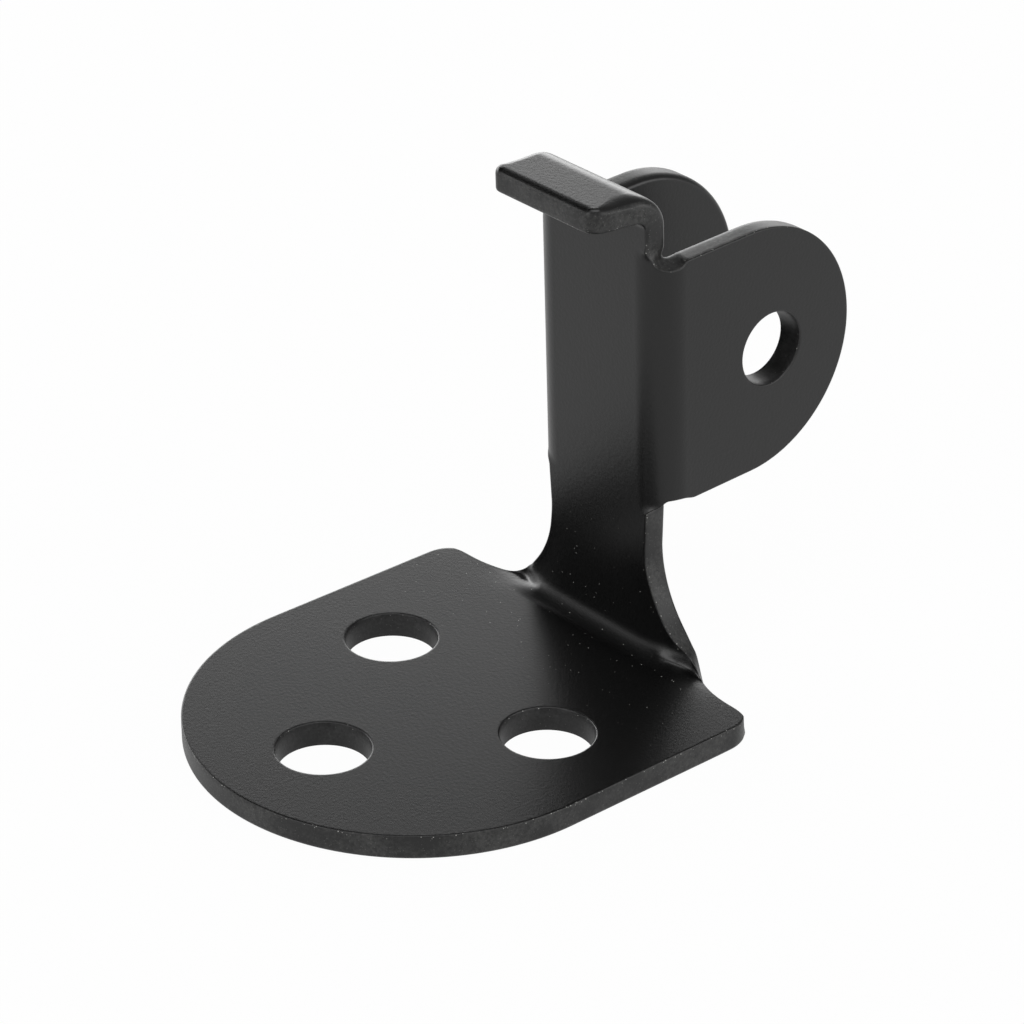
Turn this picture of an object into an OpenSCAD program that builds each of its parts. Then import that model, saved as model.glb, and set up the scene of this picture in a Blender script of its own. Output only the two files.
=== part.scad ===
// Shock absorber mounting plate: one piece of folded sheet. A flat base with a round front
// takes three bolts, a necked upright rises from its back edge, two ears folded back from
// the upright carry the bolt of the shock absorber, and a short lip folds forward on top.
// Unit: mm. Origin: midway between the two back holes, on the underside of the base.
// X runs across the part, Y to the back and Z up. The part is the same on both sides of X = 0.

/* [Sheet] */
// Thickness of the sheet
sheet_t = 3; // [2.5:0.1:3.5]
// Inner radius of every fold
fold_r = 1; // [0.7:0.1:1.6]
// Place in the thickness where a fold keeps the length of the flat sheet, from the inside
neutral = 0.4; // [0.33:0.01:0.5]
// Lean of the upright to the front, in degrees
lean = 2; // [0:0.5:5]

/* [Base] */
// Width of the base, and diameter of its round front
base_w = 54; // [50:1:60]
// Distance from the line of the back holes forward to the centre of the round front
round_y = 7.6; // [4:0.2:14]
// Distance from the line of the back holes back to the start of the base fold
fold_y = 19.3; // [17:0.1:24]
// Radius of the back corners of the base
corner_r = 3.5; // [2:0.25:3.5]
// Length of the back corners' sheet that lies in the base fold
tab_end = 0.85; // [0.4:0.05:1.2]

/* [Base holes] */
// Diameter of the three base holes
bolt_d = 11; // [8:0.5:13]
// Distance between the two back holes
bolt_pitch = 28; // [26:0.5:32]
// Distance from the line of the back holes forward to the front hole
front_bolt_y = 21.3; // [19:0.1:23]

/* [Neck] */
// Width of the neck where it is narrowest
neck_w = 16.4; // [15:0.2:18]
// Width of the neck just below the ears
neck_top_w = 17; // [16.4:0.2:18.4]
// Radius of the round notch on each side of the neck
notch_r = 15.3; // [14.5:0.1:16]
// Radius of the inside corner between the neck and an ear
ear_corner_r = 0.9; // [0.5:0.1:1]

/* [Ears] */
// Clear gap between the two ears
clevis_gap = 16; // [15:0.5:18]
// Height of the lower edge of the ears above the base fold
ear_z = 19; // [17.5:0.1:21]
// Height of the ears, and diameter of their round back end
ear_h = 30.7; // [28:0.1:32]
// Straight depth of the ears, from their fold to the centre of the round end
ear_flat = 10.3; // [6:0.1:16]
// Diameter of the hole through both ears
pin_d = 9; // [6:0.5:12]
// Distance of that hole behind the centre of the round end
pin_back = 3.1; // [0:0.1:5]
// Distance of that hole below the centre of the round end
pin_drop = 0.4; // [-2:0.1:3]

/* [Top] */
// Straight height of the upright, from the base fold to the top fold
upright_h = 54; // [53:0.5:60]
// Width of the lip and of the upright above the ears
lip_w = 17.4; // [16.6:0.2:18.6]
// Straight depth of the lip, from the top fold to its front edge
lip_d = 5.7; // [3:0.1:12]
// Radius of the front corners of the lip
lip_corner_r = 1; // [0.5:0.1:2]
// Radius of the round relief between the lip and the upper edge of an ear
relief_r = 1.2; // [1:0.1:1.5]
// Height of the centre of that relief above the upper edge of the ears
relief_up = 0.4; // [0.3:0.1:0.6]

/* [Hidden] */
$fn = 96;
// Margin by which a cutter runs past what it cuts
past = 1;
// Outer radius of the folds, and the radius where the sheet keeps its length
outer_r = fold_r + sheet_t;
neutral_r = fold_r + neutral * sheet_t;
// Turn of the base fold in degrees, and the length of flat sheet in it
base_turn = 90 + lean;
base_fold_len = neutral_r * base_turn * PI / 180;
// Distance of an ear fold's axis from the middle plane
ear_fold_x = clevis_gap / 2 - fold_r;
// Number of chords in the round stretches of the edge lines
corner_steps = 10;
notch_steps = 28;
ear_corner_steps = 8;
relief_steps = 16;
// Angle left off each end of the relief's half circle, to keep the cutter clear of the lip
relief_trim = 5;

// Point of a sheet that is folded round the X axis: x along the fold, s the length of flat
// sheet from the start of the fold, r the distance from the axis, turn the whole fold
function on_sheet(x, s, r, turn) =
    let (
        in_fold = min(max(s, 0), neutral_r * turn * PI / 180),
        a = in_fold / neutral_r * 180 / PI,
        past_fold = s - in_fold
    )
    [x, r * sin(a) + past_fold * cos(a), past_fold * sin(a) - r * cos(a)];

// Points of an arc in the flat sheet, as [along the fold, length from the fold's start]
function arc_points(centre, r, from, to, steps) = [
    for (i = [0 : steps])
        let (a = from + (to - from) * i / steps)
        [centre[0] + r * cos(a), centre[1] + r * sin(a)]
];

// Points of a stretch without its first one
function after_first(points) = [for (i = [1 : len(points) - 1]) points[i]];

// Rectangle between two opposite corners
module rectangle(a, b) {
    polygon([a, [b[0], a[1]], b, [a[0], b[1]]]);
}

// Sheet folded round the X axis, from straight below it towards +Y
module fold(turn, from_x, to_x) {
    rotate([0, 90, 0])
        rotate_extrude(angle = turn)
            rectangle([fold_r, from_x], [outer_r, to_x]);
}

// What is cut off a folded sheet, between an edge line laid on it and a line at a fixed x
module edge_cutter(edge, far_x, turn) {
    last = len(edge) - 1;
    inside = fold_r / 2;
    outside = outer_r + past;
    radii = far_x > edge[0][0] ? [inside, outside] : [outside, inside];
    corners = [
        for (p = edge)
            each [
                on_sheet(p[0], p[1], radii[0], turn),
                on_sheet(p[0], p[1], radii[1], turn),
                on_sheet(far_x, p[1], radii[1], turn),
                on_sheet(far_x, p[1], radii[0], turn)
            ]
    ];
    sides = [
        for (i = [0 : last - 1], k = [0 : 3])
            let (next = (k + 1) % 4)
            [4 * i + k, 4 * i + next, 4 * i + 4 + next, 4 * i + 4 + k]
    ];
    ends = [[3, 2, 1, 0], [4 * last, 4 * last + 1, 4 * last + 2, 4 * last + 3]];
    polyhedron(corners, concat(sides, ends));
}

// Base up to the base fold, with square back corners
module base_plate() {
    straight_d = round_y + fold_y;
    translate([0, 0, -outer_r])
        difference() {
            linear_extrude(sheet_t) {
                translate([0, -straight_d])
                    difference() {
                        circle(d = base_w);
                        rectangle([-base_w, 0], [base_w, base_w]);
                    }
                rectangle([-base_w / 2, -straight_d], [base_w / 2, 0]);
            }
            for (side = [-1, 1])
                translate([side * bolt_pitch / 2, -fold_y, -past])
                    cylinder(h = sheet_t + 2 * past, d = bolt_d);
            translate([0, -fold_y - front_bolt_y, -past])
                cylinder(h = sheet_t + 2 * past, d = bolt_d);
        }
}

// Flat of the upright between two heights above the base fold
module upright(half_w, from_z, to_z) {
    translate([0, outer_r, 0])
        rotate([90, 0, 0])
            linear_extrude(sheet_t)
                rectangle([-half_w, from_z], [half_w, to_z]);
}

// Base, base fold and neck, cut to shape along one edge line on each side: round back
// corner, round notch, then the side of the neck up to the ears
module base_and_neck() {
    corner_at = [base_w / 2 - corner_r, tab_end - corner_r];
    corner = arc_points(corner_at, corner_r, 0, 90, corner_steps);
    notch_at = [neck_w / 2 + notch_r, tab_end + notch_r];
    notch = arc_points(notch_at, notch_r, 270, 180, notch_steps);
    neck_s = base_fold_len + ear_z - ear_corner_r;
    edge = concat(
        [2 * corner[0] - corner[1]],
        after_first(corner),
        after_first(notch),
        [[neck_top_w / 2, neck_s + past]]
    );
    difference() {
        union() {
            base_plate();
            fold(base_turn, -base_w / 2, base_w / 2);
            rotate([lean, 0, 0])
                upright(base_w / 2, 0, ear_z - ear_corner_r);
        }
        for (side = [0, 1])
            mirror([side, 0, 0])
                edge_cutter(edge, base_w / 2 + past, base_turn);
    }
}

// Right ear with its fold: an inside corner below where the fold leaves the neck, and a
// round relief above between the ear and the lip
module ear() {
    neck_s = neck_top_w / 2 - ear_fold_x;
    fold_len = neutral_r * PI / 2;
    corner_at = [ear_z - ear_corner_r, neck_s + ear_corner_r];
    lower_edge = concat(
        arc_points(corner_at, ear_corner_r, -90, 0, ear_corner_steps),
        [[ear_z, fold_len + past]]
    );
    relief_at = [ear_z + ear_h + relief_up, lip_w / 2 + relief_r - ear_fold_x];
    relief_from = 270 - relief_trim;
    relief_to = 90 + relief_trim;
    relief_edge = arc_points(relief_at, relief_r, relief_from, relief_to, relief_steps);
    rotate([0, -90, -90])
        difference() {
            union() {
                difference() {
                    fold(90, ear_z - ear_corner_r, ear_z + ear_h);
                    edge_cutter(lower_edge, ear_z - 2 * past, 90);
                }
                translate([ear_z, fold_r, 0])
                    ear_flat();
            }
            edge_cutter(relief_edge, ear_z + ear_h + 2 * past, 90);
        }
}

// Flat of an ear, from its fold to its round back end
module ear_flat() {
    rotate([90, 0, 0])
        mirror([0, 0, 1])
            difference() {
                linear_extrude(sheet_t) {
                    rectangle([0, 0], [ear_h, ear_flat]);
                    translate([ear_h / 2, ear_flat])
                        difference() {
                            circle(d = ear_h);
                            rectangle([-ear_h, -ear_h], [ear_h, 0]);
                        }
                }
                translate([ear_h / 2 - pin_drop, ear_flat + pin_back, -past])
                    cylinder(h = sheet_t + 2 * past, d = pin_d);
            }
}

// Lip from the top fold to its front edge, with rounded front corners
module lip() {
    corner_x = lip_w / 2 - lip_corner_r;
    corner_y = lip_d - lip_corner_r;
    translate([0, 0, fold_r])
        rotate([0, 0, 180])
            linear_extrude(sheet_t) {
                rectangle([-lip_w / 2, 0], [lip_w / 2, corner_y]);
                rectangle([-corner_x, corner_y], [corner_x, lip_d]);
                for (side = [0, 1])
                    mirror([side, 0])
                        translate([corner_x, corner_y])
                            intersection() {
                                circle(lip_corner_r);
                                square(lip_corner_r + past);
                            }
            }
}

module mounting_plate() {
    color("dimgray")
        translate([0, fold_y, outer_r]) {
            base_and_neck();
            rotate([lean, 0, 0]) {
                upright(ear_fold_x, ear_z - ear_corner_r, ear_z + ear_h);
                for (side = [0, 1])
                    mirror([side, 0, 0])
                        translate([ear_fold_x, fold_r + outer_r, 0])
                            ear();
                upright(lip_w / 2, ear_z + ear_h, upright_h);
                translate([0, 0, upright_h]) {
                    rotate([90, 0, 0])
                        fold(90, -lip_w / 2, lip_w / 2);
                    lip();
                }
            }
        }
}

mounting_plate();
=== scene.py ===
# Shock absorber mounting plate: the folded sheet with its powder coat, on a white studio floor
import math

import bpy
import numpy as np
from bpy.props import FloatProperty, FloatVectorProperty, PointerProperty, StringProperty
from mathutils import Matrix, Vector
from mathutils.geometry import delaunay_2d_cdt


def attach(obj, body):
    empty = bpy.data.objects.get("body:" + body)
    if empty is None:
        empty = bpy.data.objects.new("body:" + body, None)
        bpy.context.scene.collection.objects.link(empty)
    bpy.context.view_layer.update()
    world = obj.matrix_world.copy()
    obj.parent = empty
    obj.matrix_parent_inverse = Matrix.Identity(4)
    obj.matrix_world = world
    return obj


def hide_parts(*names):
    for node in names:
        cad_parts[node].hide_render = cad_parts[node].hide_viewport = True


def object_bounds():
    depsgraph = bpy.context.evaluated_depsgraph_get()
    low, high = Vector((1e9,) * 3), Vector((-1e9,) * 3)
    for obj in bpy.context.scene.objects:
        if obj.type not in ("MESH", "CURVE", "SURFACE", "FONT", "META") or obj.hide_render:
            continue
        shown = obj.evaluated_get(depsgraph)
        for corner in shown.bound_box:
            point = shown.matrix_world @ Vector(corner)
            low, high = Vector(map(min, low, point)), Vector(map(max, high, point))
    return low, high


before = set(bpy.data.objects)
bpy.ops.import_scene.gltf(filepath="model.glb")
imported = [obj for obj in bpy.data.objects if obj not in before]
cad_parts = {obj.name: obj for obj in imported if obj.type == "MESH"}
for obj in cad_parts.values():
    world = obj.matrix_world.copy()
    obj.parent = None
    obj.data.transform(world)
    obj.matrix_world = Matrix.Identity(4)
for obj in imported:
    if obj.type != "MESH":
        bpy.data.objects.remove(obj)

bl_info = {
    "name": "Shock Absorber Mounting Plate",
    "version": (1, 0, 0),
    "blender": (4, 5, 0),
    "location": "View3D > Sidebar > Plate",
    "description": "Builds a folded and powder-coated shock absorber mounting plate on a studio floor",
    "category": "Object",
}

CAD_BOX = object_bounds()
MM = 0.001
NODE = "mounting_plate"

# Where the base fold runs out at a round notch, the sheet isn't folded as tightly as in the
# middle. Each row: length of flat sheet from the start of the fold, how far the front face
# is drawn to the back there, how far up, and how far the back face is drawn in. In mm.
FOLD_END = np.array([
    (0.6, 0.0, 0.0, 0.0),
    (1.26, 0.18, -0.02, 0.5),
    (1.87, 0.69, -0.13, 0.9),
    (2.3, 0.98, -0.18, 0.9),
    (2.82, 1.38, -0.19, 0.9),
    (3.43, 1.9, -0.09, 0.85),
    (4.15, 1.42, 0.09, 0.6),
    (5.0, 0.77, 0.13, 0.2),
    (6.02, 0.44, 0.15, 0.0),
    (7.26, 0.33, 0.12, 0.0),
    (8.8, 0.25, 0.1, 0.0),
    (11.3, 0.15, 0.05, 0.0),
    (14.0, 0.0, 0.0, 0.0),
]) * MM
# Distance from a notch at which that fades, and length of sheet over which it is evened out
FOLD_END_REACH = 2.8 * MM
FOLD_END_SPREAD = 0.5 * MM

# Width of the border along every outline where the faces have no points of their own
BORDER = 0.16 * MM
# Strips of the rounded edges that take the faces' coat, counted from the front and the back
FRONT_STRIPS = 1
BACK_STRIPS = 3

# Soft boxes of the studio. Each row: turn to the right from straight ahead of the camera,
# height, and how far from its middle a box is still full and where it ends, in degrees,
# then its share of the soft boxes' light. The last one is a dark screen, which takes light.
SOFT_BOXES = (
    (106, 13, 12, 26, 1.0),
    (-132, 12, 12, 26, 1.2),
    (139, 12, 10, 22, 0.6),
    (-84, 4, 8, 22, 0.12),
    (175, 62, 16, 28, 1.0),
    (-80, 46, 26, 44, -0.13),
)
# Middle of the studio's bright side as the same two angles, and how nearly a direction has to
# point there, as a cosine, to be at the border of that side and to be fully in it
BRIGHT_SIDE = (-30, 0)
BRIGHT_SIDE_EDGE = (0.55, 0.86)
# Upper edges of the wall and of the backdrop on that side, as the Z of a direction
WALL_EDGE = (0.8, 0.5)
BACKDROP_EDGE = (0.425, 0.33)


class PlateSizes(bpy.types.PropertyGroup):
    """Sizes of the folded sheet."""

    thickness: FloatProperty(
        name="Thickness", description="Thickness of the sheet", default=3 * MM, unit="LENGTH")
    fold_radius: FloatProperty(
        name="Fold Radius", description="Inner radius of every fold", default=1 * MM, unit="LENGTH")
    neutral: FloatProperty(
        name="Neutral", description="Place in the thickness where a fold keeps its length",
        default=0.4, subtype="FACTOR")
    lean: FloatProperty(
        name="Lean", description="Lean of the upright to the front",
        default=math.radians(2), unit="ROTATION")
    inside_radius: FloatProperty(
        name="Inside Radius", description="Radius of the base fold's front face, with its thick coat",
        default=2.3 * MM, unit="LENGTH")
    edge_radius: FloatProperty(
        name="Edge Radius", description="Rounding of the sharp side of the punched edges",
        default=0.17 * MM, unit="LENGTH")
    roll_depth: FloatProperty(
        name="Roll Depth", description="How far down the edge its rolled side is rounded",
        default=1.1 * MM, unit="LENGTH")
    roll_reach: FloatProperty(
        name="Roll Reach", description="How far into the face the rolled side is rounded",
        default=0.7 * MM, unit="LENGTH")
    base_roll: FloatProperty(
        name="Base Roll", description="Share of that rounding on the underside of the base",
        default=0.45, subtype="FACTOR")
    hole_roll: FloatProperty(
        name="Hole Roll", description="Share of that rounding in the holes",
        default=0.08, subtype="FACTOR")
    hole_taper: FloatProperty(
        name="Hole Taper", description="How much smaller a hole's radius is on the far side",
        default=0.2 * MM, unit="LENGTH")
    lip_right_roll: FloatProperty(
        name="Lip Right Roll", description="How much wider the rounding is on the lip's right side",
        default=2.0, subtype="FACTOR")
    lip_left_roll: FloatProperty(
        name="Lip Left Roll", description="How much wider the rounding is on the lip's left side",
        default=0.6, subtype="FACTOR")
    lip_front_roll: FloatProperty(
        name="Lip Front Roll", description="How much wider the rounding is on the lip's front edge",
        default=0.3, subtype="FACTOR")
    lip_edge_radius: FloatProperty(
        name="Lip Edge Radius", description="Rounding of the lower edge of the lip",
        default=0.4 * MM, unit="LENGTH")
    base_width: FloatProperty(
        name="Base Width", description="Width of the base and diameter of its round front",
        default=54 * MM, unit="LENGTH")
    round_y: FloatProperty(
        name="Round Centre",
        description="Distance from the back holes to the centre of the round front",
        default=7.6 * MM, unit="LENGTH")
    fold_y: FloatProperty(
        name="Fold Start", description="Distance from the back holes back to the base fold",
        default=19.3 * MM, unit="LENGTH")
    corner_radius: FloatProperty(
        name="Corner Radius", description="Radius of the back corners of the base",
        default=3.5 * MM, unit="LENGTH")
    corner_square: FloatProperty(
        name="Corner Square", description="How much squarer those corners are on the underside",
        default=0.3 * MM, unit="LENGTH")
    tab_end: FloatProperty(
        name="Tab End", description="Length of the back corners' sheet that lies in the base fold",
        default=0.85 * MM, unit="LENGTH")
    bolt_hole: FloatProperty(
        name="Bolt Hole", description="Diameter of the base holes", default=11 * MM, unit="LENGTH")
    bolt_pitch: FloatProperty(
        name="Bolt Pitch", description="Distance between the two back holes",
        default=28 * MM, unit="LENGTH")
    front_bolt: FloatProperty(
        name="Front Bolt", description="Distance from the back holes forward to the front hole",
        default=21.3 * MM, unit="LENGTH")
    neck_width: FloatProperty(
        name="Neck Width", description="Narrowest width of the neck", default=16.4 * MM, unit="LENGTH")
    neck_top_width: FloatProperty(
        name="Neck Top Width", description="Width of the neck below the ears",
        default=17 * MM, unit="LENGTH")
    notch_radius: FloatProperty(
        name="Notch Radius", description="Radius of the round notches",
        default=15.3 * MM, unit="LENGTH")
    ear_corner_radius: FloatProperty(
        name="Ear Corner Radius", description="Inside corner between neck and ear",
        default=0.9 * MM, unit="LENGTH")
    ear_rise: FloatProperty(
        name="Ear Rise", description="How far an ear's lower edge is drawn up in its fold",
        default=0.5 * MM, unit="LENGTH")
    neck_flare: FloatProperty(
        name="Neck Flare", description="How far the neck is spread above an ear's relief",
        default=0.4 * MM, unit="LENGTH")
    clevis_gap: FloatProperty(
        name="Clevis Gap", description="Clear gap between the ears", default=16 * MM, unit="LENGTH")
    ear_z: FloatProperty(
        name="Ear Bottom", description="Height of the ears above the base fold",
        default=19 * MM, unit="LENGTH")
    ear_height: FloatProperty(
        name="Ear Height", description="Height of the ears", default=30.7 * MM, unit="LENGTH")
    ear_flat: FloatProperty(
        name="Ear Depth", description="Straight depth of the ears", default=10.3 * MM, unit="LENGTH")
    pin_hole: FloatProperty(
        name="Pin Hole", description="Diameter of the hole through the ears",
        default=9 * MM, unit="LENGTH")
    pin_back: FloatProperty(
        name="Pin Back", description="Distance of that hole behind the centre of the round end",
        default=3.1 * MM, unit="LENGTH")
    pin_drop: FloatProperty(
        name="Pin Drop", description="Distance of that hole below the centre of the round end",
        default=0.4 * MM, unit="LENGTH")
    upright_height: FloatProperty(
        name="Upright Height", description="Straight height of the upright",
        default=54 * MM, unit="LENGTH")
    lip_width: FloatProperty(
        name="Lip Width", description="Width of the lip", default=17.4 * MM, unit="LENGTH")
    lip_depth: FloatProperty(
        name="Lip Depth", description="Straight depth of the lip", default=5.7 * MM, unit="LENGTH")
    lip_corner_radius: FloatProperty(
        name="Lip Corner Radius", description="Radius of the lip's front corners",
        default=1.3 * MM, unit="LENGTH")
    lip_shift: FloatProperty(
        name="Lip Shift", description="How far the lip's front edge is drawn to the left",
        default=0.75 * MM, unit="LENGTH")
    lip_wear: FloatProperty(
        name="Lip Wear", description="How far the lip's right front corner is worn to the left",
        default=0.5 * MM, unit="LENGTH")
    relief_radius: FloatProperty(
        name="Relief Radius", description="Radius of the relief between lip and ear",
        default=1.2 * MM, unit="LENGTH")
    relief_up: FloatProperty(
        name="Relief Height", description="Height of the relief's centre above the ears",
        default=0.4 * MM, unit="LENGTH")
    relief_blend: FloatProperty(
        name="Relief Blend", description="Radius between the relief and the ear's upper edge",
        default=0.8 * MM, unit="LENGTH")
    relief_slant: FloatProperty(
        name="Relief Slant", description="How far the relief is drawn inwards on the front face",
        default=0.6 * MM, unit="LENGTH")


class CoatFinish(bpy.types.PropertyGroup):
    """Colours and gloss of the powder coat."""

    face_colour: StringProperty(
        name="Face Colour", description="sRGB colour of the coat", default="#0A0A0A")
    edge_dark: StringProperty(
        name="Edge Dark", description="sRGB colour where the coat on a cut edge is full",
        default="#0C0C0C")
    edge_light: StringProperty(
        name="Edge Light", description="sRGB colour where the coat on a cut edge is thin",
        default="#313130")
    hole_light: StringProperty(
        name="Hole Light", description="sRGB colour where the coat in a hole is thin",
        default="#262626")
    # Speck also colours the painted glints along the sharp side of the outer cut edge
    speck: StringProperty(
        name="Speck", description="sRGB colour of the dust specks and bare spots", default="#A8A8A4")
    ior: FloatProperty(
        name="IOR", description="Index of refraction of the coat", default=1.46)
    roughness: FloatProperty(
        name="Roughness", description="Roughness of the satin coat", default=0.3, subtype="FACTOR")
    edge_roughness: FloatProperty(
        name="Edge Roughness", description="Roughness of the coat on cut edges",
        default=0.42, subtype="FACTOR")
    grain: FloatProperty(
        name="Grain", description="Size of the grains of the coat", default=0.42 * MM, unit="LENGTH")
    grain_height: FloatProperty(
        name="Grain Height", description="Height of the grains of the coat",
        default=0.016 * MM, unit="LENGTH")
    mottle: FloatProperty(
        name="Mottle", description="Size of the soft patches on cut edges",
        default=4.5 * MM, unit="LENGTH")
    dust_place: FloatVectorProperty(
        name="Dust Place", description="Middle of the dust, along the base fold",
        default=(0, 0.02, 0.004), subtype="TRANSLATION")
    dust_reach: FloatProperty(
        name="Dust Reach", description="How far from the base fold dust lies",
        default=16 * MM, unit="LENGTH")
    dust_gap: FloatProperty(
        name="Dust Gap", description="Distance between dust specks", default=1 * MM, unit="LENGTH")
    # The bare spots on the outer cut edge are painted glints, a dotted highlight along its sharp side
    edge_glint_gap: FloatProperty(
        name="Edge Gap", description="Distance between bare spots on the outer cut edge",
        default=0.4 * MM, unit="LENGTH")
    hole_gap: FloatProperty(
        name="Hole Gap", description="Distance between bare spots in the holes",
        default=0.6 * MM, unit="LENGTH")
    # Also the radius of each painted glint on the outer cut edge
    speck_size: FloatProperty(
        name="Speck Size", description="Radius of a dust speck or bare spot",
        default=0.055 * MM, unit="LENGTH")


class StudioView(bpy.types.PropertyGroup):
    """Camera, floor and light."""

    azimuth: FloatProperty(
        name="Azimuth", description="Turn of the camera round the plate",
        default=math.radians(49.243), unit="ROTATION")
    elevation: FloatProperty(
        name="Elevation", description="Height of the camera as an angle",
        default=math.radians(28.778), unit="ROTATION")
    roll: FloatProperty(
        name="Roll", description="Roll of the camera", default=math.radians(-0.067), unit="ROTATION")
    place: FloatVectorProperty(
        name="Place", description="Place of the camera", default=(0.29992, -0.2518, 0.24073),
        subtype="TRANSLATION")
    lens: FloatProperty(name="Lens", description="Focal length in millimetres", default=139.146)
    floor_size: FloatProperty(
        name="Floor Size", description="Width of the floor", default=4.0, unit="LENGTH")
    floor_colour: StringProperty(
        name="Floor Colour", description="sRGB colour of the floor", default="#E8E8E8")
    floor_seen: FloatProperty(
        name="Floor Seen White", description="Share of plain white in the floor that the camera sees",
        default=0.97, subtype="FACTOR")
    floor_mirrored: FloatProperty(
        name="Floor Mirrored White", description="Share of plain white in the floor that the coat mirrors",
        default=0.6, subtype="FACTOR")
    room_light: FloatProperty(
        name="Room Light", description="Brightness of the studio all round", default=0.32)
    wall_light: FloatProperty(
        name="Wall Light", description="Brightness that the wall on the bright side adds", default=0.02)
    backdrop_light: FloatProperty(
        name="Backdrop Light", description="Brightness that the lit backdrop adds", default=3.9)
    box_light: FloatProperty(
        name="Soft Box Light", description="Brightness that the soft boxes add", default=2.4)


def linear(colour):
    """An sRGB hex colour as linear RGBA."""
    parts = [int(colour[i:i + 2], 16) / 255 for i in (1, 3, 5)]
    return [c / 12.92 if c <= 0.04045 else ((c + 0.055) / 1.055) ** 2.4 for c in parts] + [1.0]


def add_node(tree, kind, inputs=None, **settings):
    """A new node with its settings. An input given as a socket is linked, any other is set."""
    node = tree.nodes.new(kind)
    for name, value in settings.items():
        setattr(node, name, value)
    for name, value in (inputs or {}).items():
        if isinstance(value, bpy.types.NodeSocket):
            tree.links.new(value, node.inputs[name])
        else:
            node.inputs[name].default_value = value
    return node


def new_material(name):
    """A new material and its node tree, which is still empty."""
    material = bpy.data.materials.new(name)
    material.use_nodes = True
    tree = material.node_tree
    tree.nodes.clear()
    return material, tree


def arc(centre, radius, start, end, step):
    """Points along an arc, with angles in degrees."""
    count = max(2, math.ceil(radius * abs(math.radians(end - start)) / step))
    angles = np.radians(np.linspace(start, end, count + 1))
    return np.column_stack((centre[0] + radius * np.cos(angles), centre[1] + radius * np.sin(angles)))


def line(start, end, step):
    """Points along a straight line."""
    start, end = np.array(start, float), np.array(end, float)
    count = max(1, math.ceil(np.linalg.norm(end - start) / step))
    return start + (end - start) * np.linspace(0, 1, count + 1)[:, None]


def chain(stretches):
    """Stretches of an outline joined into one list of points, without doubled points."""
    points = np.vstack(stretches)
    far = np.linalg.norm(np.diff(points, axis=0), axis=1) > 0.02 * MM
    return points[np.concatenate(([True], far))]


def lengths_along(points):
    """Length along a list of points, up to each of them."""
    return np.concatenate(([0], np.cumsum(np.linalg.norm(np.diff(points, axis=0), axis=1))))


def fold_lengths(p):
    """Radius where the sheet keeps its length, and flat length of the base and ear folds."""
    neutral_radius = p.fold_radius + p.neutral * p.thickness
    return neutral_radius, neutral_radius * (math.pi / 2 + p.lean), neutral_radius * math.pi / 2


def blank_outline(p):
    """The sheet's outline before it is folded: across, and along from the base fold's start."""
    _, base_fold, ear_fold = fold_lengths(p)
    coarse, fine, finest = 0.6 * MM, 0.25 * MM, 0.12 * MM
    half = p.base_width / 2
    corner = (half - p.corner_radius, p.tab_end - p.corner_radius)
    notch = (p.neck_width / 2 + p.notch_radius, p.tab_end + p.notch_radius)
    neck_x = p.neck_top_width / 2
    ear_bottom = base_fold + p.ear_z
    ear_top = ear_bottom + p.ear_height
    inside_corner = (neck_x + p.ear_corner_radius, ear_bottom - p.ear_corner_radius)
    nose = (p.clevis_gap / 2 - p.fold_radius + ear_fold + p.ear_flat, (ear_bottom + ear_top) / 2)
    lip_x = p.lip_width / 2
    relief = (lip_x + p.relief_radius, ear_top + p.relief_up)
    reach, drop = p.relief_radius + p.relief_blend, p.relief_up + p.relief_blend
    blend = (relief[0] + math.sqrt(reach ** 2 - drop ** 2), ear_top - p.relief_blend)
    meet = -math.degrees(math.asin(drop / reach))
    lip_end = base_fold + p.upright_height + ear_fold + p.lip_depth
    lip_corner = (lip_x - p.lip_corner_radius, lip_end - p.lip_corner_radius)
    right = chain([
        arc((0, -p.round_y - p.fold_y), half, -90, 0, coarse),
        line((half, -p.round_y - p.fold_y), (half, corner[1]), coarse),
        arc(corner, p.corner_radius, 0, 90, fine),
        arc(notch, p.notch_radius, 270, 180, fine),
        line((p.neck_width / 2, notch[1]), (neck_x, inside_corner[1]), fine),
        arc(inside_corner, p.ear_corner_radius, 180, 90, finest),
        line((inside_corner[0], ear_bottom), (nose[0], ear_bottom), fine),
        arc(nose, p.ear_height / 2, -90, 90, coarse),
        line((nose[0], ear_top), (blend[0], ear_top), fine),
        arc(blend, p.relief_blend, 90, 180 + meet, finest),
        arc(relief, p.relief_radius, meet, -180, finest),
        line((lip_x, relief[1]), (lip_x, lip_corner[1]), fine),
        arc(lip_corner, p.lip_corner_radius, 0, 90, finest),
        line((lip_corner[0], lip_end), (0, lip_end), fine),
    ])
    outline = np.vstack((right, right[-2:0:-1] * (-1, 1)))
    return np.roll(outline, -int(outline[:, 0].argmin()), axis=0)


def closed_reliefs(p, ring):
    """The outline point for point as it is on the back face, where the reliefs are closed."""
    ear_top = fold_lengths(p)[1] + p.ear_z + p.ear_height
    top = ear_top + p.relief_up
    start = p.lip_width / 2
    # A little beyond the place where the open relief meets the ear's upper edge
    end = start + 2.4 * p.relief_radius
    corner, slack = 0.35 * MM, 0.001 * MM
    path = chain([
        line((end, ear_top), (start + corner, ear_top), corner),
        arc((start + corner, ear_top + corner), corner, 270, 180, corner / 4),
        line((start, ear_top + corner), (start, top), corner),
    ])
    closed = ring.copy()
    for side in (1, -1):
        a, s = side * ring[:, 0], ring[:, 1]
        beside = (a > start - slack) & (a < end)
        at = np.flatnonzero(beside & (s > ear_top - p.relief_radius) & (s < top + slack))[::side]
        share = lengths_along(ring[at])
        share *= lengths_along(path)[-1] / share[-1]
        for k, sign in ((0, side), (1, 1)):
            closed[at, k] = sign * np.interp(share, lengths_along(path), path[:, k])
    return closed


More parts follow.
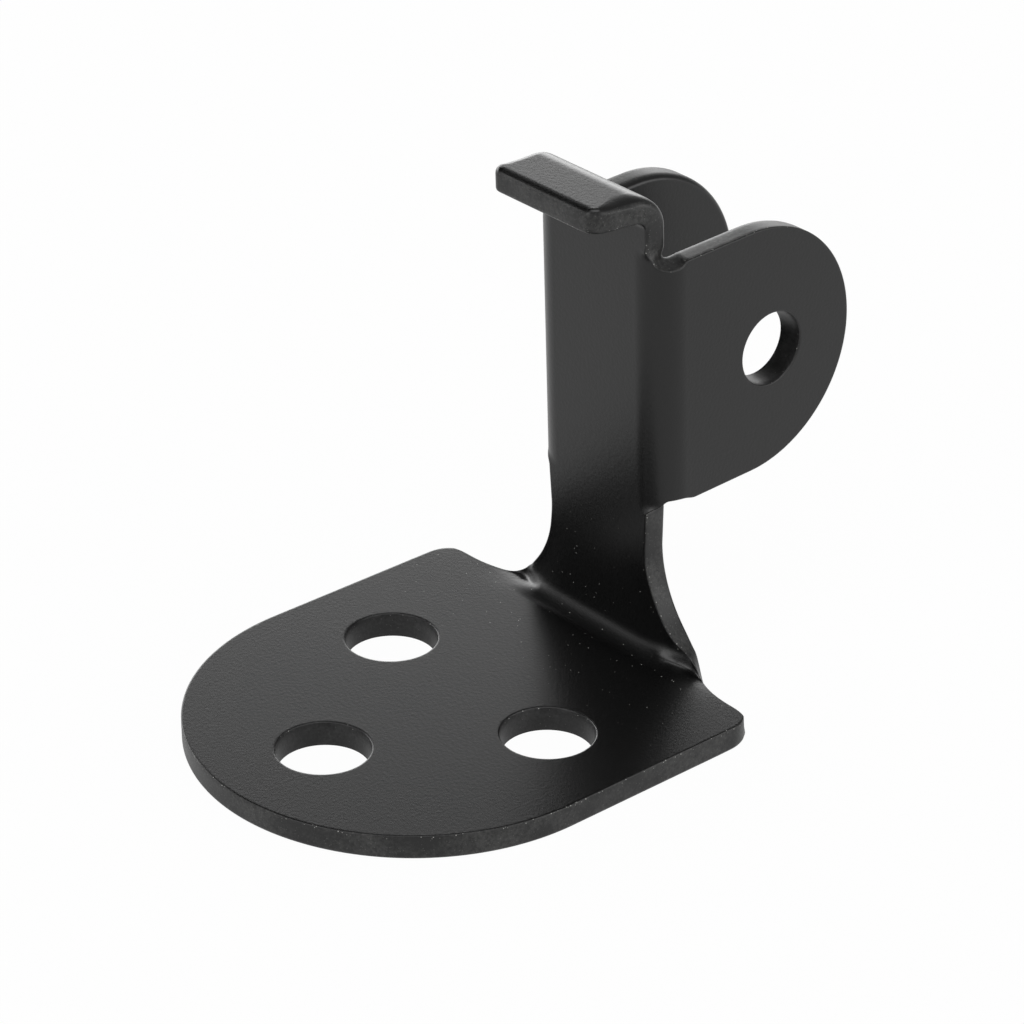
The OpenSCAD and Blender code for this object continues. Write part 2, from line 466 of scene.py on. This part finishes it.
def hole_rings(p):
    """The holes' outlines in the flat sheet, clockwise."""
    _, base_fold, ear_fold = fold_lengths(p)
    bolt, pin = p.bolt_hole / 2, p.pin_hole / 2
    pin_x = p.clevis_gap / 2 - p.fold_radius + ear_fold + p.ear_flat + p.pin_back
    pin_s = base_fold + p.ear_z + p.ear_height / 2 - p.pin_drop
    places = [
        (-p.bolt_pitch / 2, -p.fold_y, bolt),
        (p.bolt_pitch / 2, -p.fold_y, bolt),
        (0, -p.fold_y - p.front_bolt, bolt),
        (pin_x, pin_s, pin),
        (-pin_x, pin_s, pin),
    ]
    spacing = 0.35 * MM
    return [arc((x, s), r, 360, 0, spacing)[:-1] for x, s, r in places]


def inward(ring):
    """Unit vectors from each point of a ring into the sheet, which lies on its left."""
    along = np.roll(ring, -1, axis=0) - np.roll(ring, 1, axis=0)
    along /= np.linalg.norm(along, axis=1)[:, None]
    return np.column_stack((-along[:, 1], along[:, 0]))


def inside(points, ring):
    """Which points lie inside a closed ring."""
    x, y = points[:, 0], points[:, 1]
    result = np.zeros(len(points), bool)
    for (x0, y0), (x1, y1) in zip(ring, np.roll(ring, -1, axis=0)):
        if y0 != y1:
            crosses = (y0 > y) != (y1 > y)
            result ^= crosses & (x < (x1 - x0) * (y - y0) / (y1 - y0) + x0)
    return result


def steps(*stretches):
    """Grid lines from stretches of (start, end, spacing), without doubled lines."""
    lines = [np.linspace(a, b, max(1, round((b - a) / d)) + 1) for a, b, d in stretches]
    return np.unique(np.round(np.concatenate(lines), decimals=9))


def grid(p, rings):
    """Points inside the sheet on a grid that is fine across the folds."""
    _, base_fold, ear_fold = fold_lengths(p)
    margin, past_ears = 0.6 * MM, 38 * MM
    fold_start = p.clevis_gap / 2 - p.fold_radius
    fold_end = fold_start + ear_fold
    half = steps(
        (0, fold_start - margin, 0.8 * MM),
        (fold_start - margin, fold_end + margin, 0.2 * MM),
        (fold_end + margin, past_ears, 0.9 * MM),
    )
    across = np.unique(np.concatenate((-half, half)))
    front = -p.fold_y - p.round_y - p.base_width / 2
    top = base_fold + p.upright_height
    ear_bottom, ear_top = base_fold + p.ear_z, base_fold + p.ear_z + p.ear_height
    along = steps(
        (front, -3 * MM, 1.1 * MM),
        (-3 * MM, 8 * MM, 0.2 * MM),
        (8 * MM, ear_bottom - 4 * MM, 0.6 * MM),
        (ear_bottom - 4 * MM, ear_bottom + 1 * MM, 0.25 * MM),
        (ear_bottom + 1 * MM, ear_top - 2 * MM, 0.9 * MM),
        (ear_top - 2 * MM, top, 0.25 * MM),
        (top, top + ear_fold, 0.15 * MM),
        (top + ear_fold, top + ear_fold + p.lip_depth, 0.4 * MM),
    )
    x, s = (a.ravel() for a in np.meshgrid(across, along))
    points = np.column_stack((x, s))
    points = points[inside(points, rings[0])]
    for ring in rings[1:]:
        points = points[~inside(points, ring)]
    near = np.zeros(len(points), bool)
    for q in np.vstack(rings):
        near |= (np.abs(points[:, 0] - q[0]) < BORDER) & (np.abs(points[:, 1] - q[1]) < BORDER)
    return points[~near]


def fill_skin(p, rings):
    """Points and triangles of one face of the flat sheet, with the rings' points first."""
    borders = [ring + inward(ring) * BORDER for ring in rings]
    points = np.vstack(rings + borders + [grid(p, borders)])
    edges, start = [], 0
    for ring in rings:
        n = len(ring)
        edges += [(start + i, start + (i + 1) % n) for i in range(n)]
        start += n
    scaled = [tuple(q) for q in points / MM]
    out, _, triangles, origin, _, _ = delaunay_2d_cdt(scaled, edges, [], 0, 1e-6, True)
    if len(out) != len(points):
        raise RuntimeError("the flat sheet has crossing or doubled points")
    triangles = np.array([o[0] for o in origin])[np.array(triangles)]
    middle = points[triangles].mean(axis=1)
    keep = inside(middle, rings[0])
    for ring in rings[1:]:
        keep &= ~inside(middle, ring)
    return points, triangles[keep]


def fade(value, start, end):
    """0 before start, 1 after end and smooth between them."""
    t = np.clip((value - start) / (end - start), 0, 1)
    return t * t * (3 - 2 * t)


def mound(x, s, centre, size):
    """1 at a place of the flat sheet, fading to nothing around it."""
    return np.exp(-((x - centre[0]) ** 2 + (s - centre[1]) ** 2) / size ** 2)


def forming(p, x, s, w):
    """What punching and folding moved, on the flat sheet: corners, ear folds, reliefs and lip."""
    _, base_fold, ear_fold = fold_lengths(p)
    share = w / p.thickness
    side, a = np.sign(x), np.abs(x)
    half = p.base_width / 2
    ear_bottom = base_fold + p.ear_z
    ear_top = ear_bottom + p.ear_height
    top = base_fold + p.upright_height
    # Back corners of the base, squarer on the underside but no wider than the base
    corner = mound(a, s, (half - 1 * MM, p.tab_end - 1 * MM), 1.6 * MM)
    squarer = p.corner_square * share * corner
    a = np.where(s < 2 * MM, np.minimum(a + squarer, np.maximum(a, half)), a)
    s = s + squarer
    # Lower edges of the ears, drawn up where their folds start
    in_fold = fade(a, 8.5 * MM, 9.2 * MM) * (1 - fade(a, 9.8 * MM, 12 * MM))
    s = s + p.ear_rise * in_fold * (1 - fade(np.abs(s - ear_bottom), 0.5 * MM, 3 * MM))
    # Reliefs, drawn inwards on the front face only
    relief = (p.lip_width / 2 + p.relief_radius, ear_top + p.relief_up)
    near = mound(a, s, relief, 1.7 * MM) * (1 - share)
    a = a - p.relief_slant * near
    # Wider neck above the reliefs, starting lower on the back face, where they are closed
    start = ear_top + (0.6 - 2.4 * share) * MM
    flank = fade(a, 6 * MM, 8 * MM) * (1 - fade(a, 10 * MM, 12 * MM))
    flank = flank * fade(s, start, start + 1.6 * MM)
    a = a + p.neck_flare * flank * (1 - fade(s, top + 1 * MM, top + 6 * MM)) * (1 - near)
    # Lip, drawn to the left towards its front edge, with its right corner worn to the left and back
    lip_end = top + ear_fold + p.lip_depth
    worn = p.lip_wear * mound(x, s, (p.lip_width / 2, lip_end), 1.7 * MM)
    return side * a - p.lip_shift * fade(s, top, lip_end) - worn, s - 0.4 * worn


def fold_ends(p, a, s):
    """How far the ends of the base fold are moved back, up and in, at the round notches."""
    centre = (p.neck_width / 2 + p.notch_radius, p.tab_end + p.notch_radius)
    off_x, off_s = centre[0] - a, centre[1] - s
    away = np.hypot(off_x, off_s)
    edge_s = centre[1] - p.notch_radius * off_s / away
    near = np.exp(-(np.maximum(away - p.notch_radius, 0) / FOLD_END_REACH) ** 2)
    spread = np.linspace(-FOLD_END_SPREAD, FOLD_END_SPREAD, 7)
    moves = []
    for k in (1, 2, 3):
        rows = [np.interp(edge_s + d, FOLD_END[:, 0], FOLD_END[:, k]) for d in spread]
        moves.append(np.mean(rows, axis=0) * near)
    return moves


def wider_fold(p, s):
    """How far the base fold's front face moves forward and up to take its wider radius."""
    neutral_radius, base_fold, _ = fold_lengths(p)
    full = math.pi / 2 + p.lean
    extra = p.inside_radius - p.fold_radius
    run = extra * math.tan(full / 2)
    turn = np.clip(s, 0, base_fold) / neutral_radius
    before, after = np.clip(s, -run, 0), np.clip(s - base_fold, 0, run)
    length = before + run + p.fold_radius * turn + after
    wide = full * length / (2 * run + p.fold_radius * full)
    sheet_y = p.fold_radius * np.sin(turn) + before + after * math.cos(full)
    sheet_z = p.fold_radius * np.cos(turn) - after * math.sin(full)
    return (
        p.inside_radius * np.sin(wide) - run - sheet_y,
        extra - p.inside_radius * np.cos(wide) + sheet_z,
    )


def lay_upright(p, a, z, w):
    """Place of points of the upright, ears and lip: out from the middle, back and up."""
    neutral_radius, _, ear_fold = fold_lengths(p)
    # Ears: the fold fades out in the neck below them and in the upright above them
    ear_top = p.ear_z + p.ear_height
    folded = fade(z, p.ear_z - 1.4 * MM, p.ear_z - 0.05 * MM)
    folded *= 1 - fade(z, ear_top + 0.2 * MM, ear_top + 1.8 * MM)
    fold_x = p.clevis_gap / 2 - p.fold_radius
    bend = np.maximum(folded, 0.001) / neutral_radius
    beyond = np.maximum(a - fold_x, 0)
    in_fold = np.minimum(beyond, ear_fold)
    turn = bend * in_fold
    neutral_depth = p.thickness * (1 - p.neutral)
    off = w - neutral_depth
    rest = beyond - in_fold
    across = np.minimum(a, fold_x) + np.sin(turn) / bend + rest * np.cos(turn) - off * np.sin(turn)
    depth = neutral_depth + (1 - np.cos(turn)) / bend + rest * np.sin(turn) + off * np.cos(turn)
    # Top fold and lip, then the lean of them all
    top_turn = np.clip((z - p.upright_height) / neutral_radius, 0, math.pi / 2)
    lip = np.maximum(z - p.upright_height - ear_fold, 0)
    radius = p.fold_radius + depth
    y = radius * np.cos(top_turn) - lip
    up = np.minimum(z, p.upright_height) + radius * np.sin(top_turn)
    back = p.fold_y + y * math.cos(p.lean) - up * math.sin(p.lean)
    rise = p.fold_radius + p.thickness + y * math.sin(p.lean) + up * math.cos(p.lean)
    return across, back, rise


def lay_sheet(p, x, s, w):
    """Folds the flat sheet: across, along and depth from the front face to a place in space."""
    neutral_radius, base_fold, _ = fold_lengths(p)
    x, s = forming(p, x, s, w)
    side, a = np.sign(x), np.abs(x)
    base_turn = np.clip(s, 0, base_fold) / neutral_radius
    radius = p.fold_radius + w
    base_y = p.fold_y + radius * np.sin(base_turn) + np.minimum(s, 0)
    base_z = p.fold_radius + p.thickness - radius * np.cos(base_turn)
    across, upright_y, upright_z = lay_upright(p, a, s - base_fold, w)
    low = s < base_fold
    place = np.column_stack((
        side * np.where(low, a, across),
        np.where(low, base_y, upright_y),
        np.where(low, base_z, upright_z),
    ))
    # Back corners of the base, which the fold leaves nearly flat
    flat = fade(a, 10 * MM, 15 * MM) * (1 - fade(s, 1.8 * MM, 4 * MM))
    place[:, 2] -= flat * radius * (1 - np.cos(base_turn))
    # Front face of the base fold, and both faces at its ends
    front = 1 - w / p.thickness
    wide_y, wide_z = wider_fold(p, s)
    back, lift, pull = fold_ends(p, a, s)
    place[:, 0] -= side * pull * (1 - front)
    place[:, 1] += (back + wide_y * (1 - flat)) * front
    place[:, 2] += (lift + wide_z * (1 - flat)) * front
    return np.clip(place, *CAD_BOX)


def corner_room(ring):
    """How far in from each point of a ring its rounding can reach without folding over itself."""
    before, after = ring - np.roll(ring, 1, axis=0), np.roll(ring, -1, axis=0) - ring
    cross = before[:, 0] * after[:, 1] - before[:, 1] * after[:, 0]
    turn = np.arctan2(cross, (before * after).sum(axis=1))
    length = np.linalg.norm(after, axis=1)
    # About half of an outer corner's radius, and more with the distance from that corner
    tightest = 0.55 * length / np.maximum(turn, 0.001)
    at = np.concatenate(([0], np.cumsum(length)[:-1]))
    gap = np.abs(at[:, None] - at[None, :])
    gap = np.minimum(gap, length.sum() - gap)
    return (tightest[None, :] + 0.5 * gap).min(axis=1)


def roll_shares(p, ring):
    """How much of the rolled edge's reach and depth each point of the outline takes."""
    _, base_fold, ear_fold = fold_lengths(p)
    s = ring[:, 1]
    ear_bottom = base_fold + p.ear_z
    lip_start = base_fold + p.upright_height + 0.5 * ear_fold
    deep = p.base_roll + (1 - p.base_roll) * fade(s, ear_bottom - 1 * MM, ear_bottom + 1 * MM)
    on_lip = fade(s, lip_start - 2 * MM, lip_start + 2 * MM)
    right, left = (fade(sign * inward(ring)[:, 0], 0.1, 0.9) for sign in (-1, 1))
    wider = p.lip_right_roll * right + p.lip_left_roll * left
    wider = wider + p.lip_front_roll * (1 - right - left)
    room = corner_room(ring) / p.roll_reach
    return np.minimum(deep * (1 + on_lip * wider), room), np.minimum(deep * (1 - 0.2 * on_lip), room)


def edge_profile(p, reach, deep, soft):
    """Cross-section of a punched edge: how far in and how deep each ring of points lies."""
    crisp = p.edge_radius + (p.lip_edge_radius - p.edge_radius) * soft
    reach, deep = p.roll_reach * reach, p.roll_depth * deep
    quarter = np.radians(np.linspace(0, 90, 4))
    front = [(crisp * (1 - math.sin(q)), crisp * (1 - math.cos(q))) for q in quarter]
    middle = [(0, depth * (p.thickness - deep)) for depth in (0.33, 0.66)]
    quarter = np.radians(np.linspace(90, 0, 6))
    back = [(reach * (1 - math.sin(q)), p.thickness - deep * (1 - math.cos(q))) for q in quarter]
    return front + middle + back


def edge_layers(p, ring, is_hole):
    """Rings of points with their depths, from the front face over the cut edge to the back face."""
    # The lip's lower edge isn't as sharp as the other punched edges
    lip_start = fold_lengths(p)[1] + p.ear_z + p.ear_height + 2 * MM
    soft = fade(ring[:, 1], lip_start, lip_start + 2 * MM)
    behind = ring - p.hole_taper * inward(ring) if is_hole else closed_reliefs(p, ring)
    shares = [np.full(len(ring), p.hole_roll)] * 2 if is_hole else roll_shares(p, behind)
    profiles = np.array([edge_profile(p, *row) for row in zip(*shares, soft)])
    layers = []
    for inset, depth in zip(profiles[:, :, 0].T, profiles[:, :, 1].T):
        here = ring + (behind - ring) * depth[:, None] / p.thickness
        layers.append((here + inward(here) * inset[:, None], depth))
    return layers


def build_sheet(p):
    """The folded sheet as one closed mesh with materials for faces, cut edges and holes."""
    rings = [blank_outline(p)] + hole_rings(p)
    sides = [edge_layers(p, ring, index > 0) for index, ring in enumerate(rings)]
    front, front_faces = fill_skin(p, [layers[0][0] for layers in sides])
    back, back_faces = fill_skin(p, [layers[-1][0] for layers in sides])
    points = [
        np.column_stack((front, np.zeros(len(front)))),
        np.column_stack((back, np.full(len(back), p.thickness))),
    ]
    faces = [tuple(t) for t in front_faces] + [tuple(t[::-1] + len(front)) for t in back_faces]
    slots = [0] * len(faces)
    total, start = len(front) + len(back), 0
    for index, layers in enumerate(sides):
        n = len(rings[index])
        ids = [np.arange(start, start + n)]
        for place, depth in layers[1:-1]:
            points.append(np.column_stack((place, depth)))
            ids.append(np.arange(total, total + n))
            total += n
        ids.append(np.arange(len(front) + start, len(front) + start + n))
        start += n
        cut = 2 if index else 1
        back_start = len(ids) - 1 - BACK_STRIPS
        for k, (upper, lower) in enumerate(zip(ids, ids[1:])):
            faces += list(zip(upper, lower, np.roll(lower, -1), np.roll(upper, -1)))
            slots += [0 if k < FRONT_STRIPS or k >= back_start else cut] * n
    points = np.vstack(points)
    mesh = bpy.data.meshes.new("folded_sheet")
    mesh.from_pydata(lay_sheet(p, *points.T).tolist(), [], [tuple(int(i) for i in f) for f in faces])
    mesh.polygons.foreach_set("material_index", slots)
    mesh.polygons.foreach_set("use_smooth", [True] * len(faces))
    mesh.attributes.new("depth", "FLOAT", "POINT").data.foreach_set("value", points[:, 2] / p.thickness)
    if mesh.validate(verbose=True):
        raise RuntimeError("the folded sheet's mesh had faults")
    return mesh


def dots(tree, place, gap, size):
    """Small round dots scattered through space: 1 in a dot and 0 between them."""
    cells = add_node(tree, "ShaderNodeTexVoronoi", {"Vector": place, "Scale": 1 / gap})
    return add_node(tree, "ShaderNodeMapRange", {
        "Value": cells.outputs["Distance"], "From Min": 0.6 * size / gap, "From Max": 1.4 * size / gap,
        "To Min": 1.0, "To Max": 0.0,
    }).outputs["Result"]


# Black polyester powder, baked on sheet steel. It gives the eye an even deep black whose grey
# is all reflection: soft, satin and broken up by the faint pebbles of the melted powder.
def powder_coat_face(finish):
    """Satin black powder coat of the faces, with dust specks along the base fold."""
    material, tree = new_material("satin_black_powder_coat")
    place = add_node(tree, "ShaderNodeTexCoord").outputs["Object"]
    # Real pebbles of about 0.1 mm are finer than a pixel, so the grain is drawn four times as coarse
    grain = add_node(tree, "ShaderNodeTexNoise", {
        "Vector": place, "Scale": 1 / finish.grain, "Detail": 2.0, "Roughness": 0.55,
    })
    # Dust specks, drawn about a pixel wide so that they show, and fainter away from the base fold
    across = add_node(tree, "ShaderNodeVectorMath", {
        0: place, 1: (0.0, 1.0, 1.0),
    }, operation="MULTIPLY").outputs["Vector"]
    from_fold = add_node(tree, "ShaderNodeVectorMath", {
        0: across, 1: finish.dust_place,
    }, operation="DISTANCE").outputs["Value"]
    dusty = add_node(tree, "ShaderNodeMapRange", {
        "Value": from_fold, "From Min": 0.4 * finish.dust_reach, "From Max": finish.dust_reach,
        "To Min": 1.0, "To Max": 0.0,
    }).outputs["Result"]
    specks = add_node(tree, "ShaderNodeMath", {
        0: dots(tree, place, finish.dust_gap, finish.speck_size), 1: dusty,
    }, operation="MULTIPLY").outputs["Value"]
    colour = add_node(tree, "ShaderNodeMix", {
        "Factor": specks, "A": linear(finish.face_colour), "B": linear(finish.speck),
    }, data_type="RGBA")
    bump = add_node(tree, "ShaderNodeBump", {
        "Height": grain.outputs["Fac"], "Strength": 1.0, "Distance": finish.grain_height,
    })
    shader = add_node(tree, "ShaderNodeBsdfPrincipled", {
        "Base Color": colour.outputs["Result"], "Roughness": finish.roughness, "IOR": finish.ior,
        "Normal": bump.outputs["Normal"],
    })
    add_node(tree, "ShaderNodeOutputMaterial", {"Surface": shader.outputs["BSDF"]})
    return material


# The same powder on a punched edge, where it is thin over the torn steel. It gives the eye a duller,
# softly mottled dark grey. Bright dots near the sharp side are painted glints along the outer cut edge,
# and pin pricks of bare steel in the holes.
def powder_coat_edge(finish, name, light, gap):
    """Thin powder coat on punched edges, softly mottled, with bright dots on the sharp side: painted
    glints on the outer edge, bare spots in the holes.
    """
    material, tree = new_material(name)
    depth = add_node(tree, "ShaderNodeAttribute", attribute_name="depth").outputs["Fac"]
    place = add_node(tree, "ShaderNodeTexCoord").outputs["Object"]
    patches = add_node(tree, "ShaderNodeTexNoise", {
        "Vector": place, "Scale": 1 / finish.mottle, "Detail": 2.0, "Roughness": 0.5,
    })
    grain = add_node(tree, "ShaderNodeTexNoise", {
        "Vector": place, "Scale": 1 / finish.grain, "Detail": 3.0, "Roughness": 0.65,
    })
    both = add_node(tree, "ShaderNodeMath", {
        0: patches.outputs["Fac"], 1: grain.outputs["Fac"],
    }, operation="MULTIPLY").outputs["Value"]
    # The noises' product mostly lies between these two, which are the full and the thin coat
    mottle = add_node(tree, "ShaderNodeMapRange", {"Value": both, "From Min": 0.18, "From Max": 0.4})
    coat = add_node(tree, "ShaderNodeMix", {
        "Factor": mottle.outputs["Result"], "A": linear(finish.edge_dark), "B": linear(light),
    }, data_type="RGBA")
    # Bright dots, painted glints on the outer edge and bare spots in the holes, are full in the first part
    # of the depth from the front face, and faint beyond it
    spots = dots(tree, place, gap, finish.speck_size)
    high = add_node(tree, "ShaderNodeMapRange", {
        "Value": depth, "From Min": 0.08, "From Max": 0.16, "To Min": 1.0, "To Max": 0.12,
    })
    # On the outer cut edge these bright dots are a painted highlight, a dotted glint along the sharp side
    bare = add_node(tree, "ShaderNodeMath", {0: spots, 1: high.outputs["Result"]}, operation="MULTIPLY")
    colour = add_node(tree, "ShaderNodeMix", {
        "Factor": bare.outputs["Value"], "A": coat.outputs["Result"], "B": linear(finish.speck),
    }, data_type="RGBA")
    bump = add_node(tree, "ShaderNodeBump", {
        "Height": both, "Strength": 1.0, "Distance": 2 * finish.grain_height,
    })
    shader = add_node(tree, "ShaderNodeBsdfPrincipled", {
        "Base Color": colour.outputs["Result"], "Roughness": finish.edge_roughness,
        "IOR": finish.ior, "Normal": bump.outputs["Normal"],
    })
    add_node(tree, "ShaderNodeOutputMaterial", {"Surface": shader.outputs["BSDF"]})
    return material


# Matt white painted board, lit so evenly that it gives the eye plain white with a faint shadow
def studio_floor(view):
    """Matt white floor that the camera sees nearly white, with the plate's shadow left in it."""
    material, tree = new_material("matt_white_studio_floor")
    diffuse = add_node(tree, "ShaderNodeBsdfDiffuse", {"Color": linear(view.floor_colour)})
    glow = add_node(tree, "ShaderNodeEmission", {"Color": (1, 1, 1, 1), "Strength": 1.0})
    rays = add_node(tree, "ShaderNodeLightPath").outputs
    mirrored = add_node(tree, "ShaderNodeMath", {
        0: rays["Is Glossy Ray"], 1: view.floor_mirrored,
    }, operation="MULTIPLY")
    seen = add_node(tree, "ShaderNodeMath", {
        0: rays["Is Camera Ray"], 1: view.floor_seen, 2: mirrored.outputs["Value"],
    }, operation="MULTIPLY_ADD")
    mix = add_node(tree, "ShaderNodeMixShader", {
        0: seen.outputs["Value"], 1: diffuse.outputs["BSDF"], 2: glow.outputs["Emission"],
    })
    add_node(tree, "ShaderNodeOutputMaterial", {"Surface": mix.outputs["Shader"]})
    return material


def direction(view, turn, height):
    """Direction to a place given as degrees to the right from straight ahead and up."""
    angle, rise = view.azimuth + math.pi / 2 - math.radians(turn), math.radians(height)
    return (math.cos(angle) * math.cos(rise), math.sin(angle) * math.cos(rise), math.sin(rise))


def soft_light(tree, way, middle, edge, light):
    """Light round a direction, from none at the first value of its edge to full at the second."""
    near = add_node(tree, "ShaderNodeVectorMath", {0: way, 1: middle}, operation="DOT_PRODUCT")
    return add_node(tree, "ShaderNodeMapRange", {
        "Value": near.outputs["Value"], "From Min": edge[0], "From Max": edge[1],
        "To Min": 0.0, "To Max": light,
    }, interpolation_type="SMOOTHSTEP").outputs["Result"]


def studio_light(view):
    """A soft white studio: lit backdrop on the bright side, soft boxes and a dimmer room."""
    world = bpy.data.worlds.new("white_studio")
    world.use_nodes = True
    tree = world.node_tree
    tree.nodes.clear()
    way = add_node(tree, "ShaderNodeTexCoord").outputs["Generated"]
    ahead = soft_light(tree, way, direction(view, *BRIGHT_SIDE), BRIGHT_SIDE_EDGE, 1.0)
    lights = []
    for edge, light in ((WALL_EDGE, view.wall_light), (BACKDROP_EDGE, view.backdrop_light)):
        band = soft_light(tree, way, (0, 0, 1), edge, light)
        lit = add_node(tree, "ShaderNodeMath", {0: ahead, 1: band}, operation="MULTIPLY")
        lights.append(lit.outputs["Value"])
    for turn, height, full, end, share in SOFT_BOXES:
        edge = [math.cos(math.radians(a)) for a in (end, full)]
        lights.append(soft_light(tree, way, direction(view, turn, height), edge, view.box_light * share))
    total = view.room_light
    for light in lights:
        total = add_node(tree, "ShaderNodeMath", {0: light, 1: total}, operation="ADD").outputs["Value"]
    # The camera sees plain white behind the floor
    rays = add_node(tree, "ShaderNodeLightPath")
    strength = add_node(tree, "ShaderNodeMix", {
        "Factor": rays.outputs["Is Camera Ray"], "A": total, "B": 1.0,
    }, data_type="FLOAT")
    sky = add_node(tree, "ShaderNodeBackground", {
        "Color": (1, 1, 1, 1), "Strength": strength.outputs["Result"],
    })
    add_node(tree, "ShaderNodeOutputWorld", {"Surface": sky.outputs["Background"]})
    return world


class PLATE_OT_folded_sheet(bpy.types.Operator):
    """Builds the folded sheet with its powder coat in place of the plain solid"""

    bl_idname = "plate.folded_sheet"
    bl_label = "Folded Sheet"

    def execute(self, context):
        sizes, finish = context.scene.plate_sizes, context.scene.plate_finish
        sheet = bpy.data.objects.new("folded_sheet", build_sheet(sizes))
        context.collection.objects.link(sheet)
        edge, holes = "powder_coat_on_punched_edge", "powder_coat_in_holes"
        for material in (
            powder_coat_face(finish),
            # The outer cut edge gets its painted glints at this gap, the holes their bare spots
            powder_coat_edge(finish, edge, finish.edge_light, finish.edge_glint_gap),
            powder_coat_edge(finish, holes, finish.hole_light, finish.hole_gap),
        ):
            sheet.data.materials.append(material)
        normals = sheet.modifiers.new("flat_faces_stay_flat", "WEIGHTED_NORMAL")
        normals.mode = "FACE_AREA"
        normals.weight = 90
        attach(sheet, "root")
        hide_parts(NODE)
        return {"FINISHED"}


class PLATE_OT_studio(bpy.types.Operator):
    """Adds the floor, the light and the camera"""

    bl_idname = "plate.studio"
    bl_label = "Studio"

    def execute(self, context):
        view = context.scene.plate_view
        half = view.floor_size / 2
        corners = [(-half, -half, 0), (half, -half, 0), (half, half, 0), (-half, half, 0)]
        mesh = bpy.data.meshes.new("studio_floor")
        mesh.from_pydata(corners, [], [(0, 1, 2, 3)])
        floor = bpy.data.objects.new("studio_floor", mesh)
        context.collection.objects.link(floor)
        mesh.materials.append(studio_floor(view))

        context.scene.world = studio_light(view)

        sin_a, cos_a = math.sin(view.azimuth), math.cos(view.azimuth)
        sin_e, cos_e = math.sin(view.elevation), math.cos(view.elevation)
        back = np.array((sin_a * cos_e, -cos_a * cos_e, sin_e))
        right = np.array((cos_a, sin_a, 0))
        up = np.cross(back, right)
        sin_r, cos_r = math.sin(view.roll), math.cos(view.roll)
        axes = (cos_r * right - sin_r * up, sin_r * right + cos_r * up, back)
        lens = bpy.data.cameras.new("camera")
        lens.sensor_fit = "HORIZONTAL"
        lens.sensor_width = 36
        lens.lens = view.lens
        lens.clip_start = 0.01
        camera = bpy.data.objects.new("camera", lens)
        context.collection.objects.link(camera)
        rows = [[float(axis[k]) for axis in axes] + [view.place[k]] for k in range(3)]
        camera.matrix_world = Matrix(rows + [[0, 0, 0, 1]])
        context.scene.camera = camera
        context.scene.view_settings.view_transform = "Standard"
        return {"FINISHED"}


class VIEW3D_PT_plate(bpy.types.Panel):
    """Buttons and settings of the mounting plate"""

    bl_label = "Mounting Plate"
    bl_space_type = "VIEW_3D"
    bl_region_type = "UI"
    bl_category = "Plate"

    def draw(self, context):
        layout = self.layout
        for operator in OPERATORS:
            layout.operator(operator.bl_idname)
        for group in (context.scene.plate_sizes, context.scene.plate_finish, context.scene.plate_view):
            box = layout.box()
            for name in group.bl_rna.properties.keys():
                if name not in ("rna_type", "name"):
                    box.prop(group, name)


OPERATORS = (PLATE_OT_folded_sheet, PLATE_OT_studio)
CLASSES = (PlateSizes, CoatFinish, StudioView, *OPERATORS, VIEW3D_PT_plate)


def register():
    for cls in CLASSES:
        bpy.utils.register_class(cls)
    bpy.types.Scene.plate_sizes = PointerProperty(type=PlateSizes)
    bpy.types.Scene.plate_finish = PointerProperty(type=CoatFinish)
    bpy.types.Scene.plate_view = PointerProperty(type=StudioView)


def unregister():
    del bpy.types.Scene.plate_view
    del bpy.types.Scene.plate_finish
    del bpy.types.Scene.plate_sizes
    for cls in reversed(CLASSES):
        bpy.utils.unregister_class(cls)


def main():
    """Builds the piece and the studio."""
    register()
    bpy.ops.plate.folded_sheet()
    bpy.ops.plate.studio()


if __name__ == "__main__":
    main()
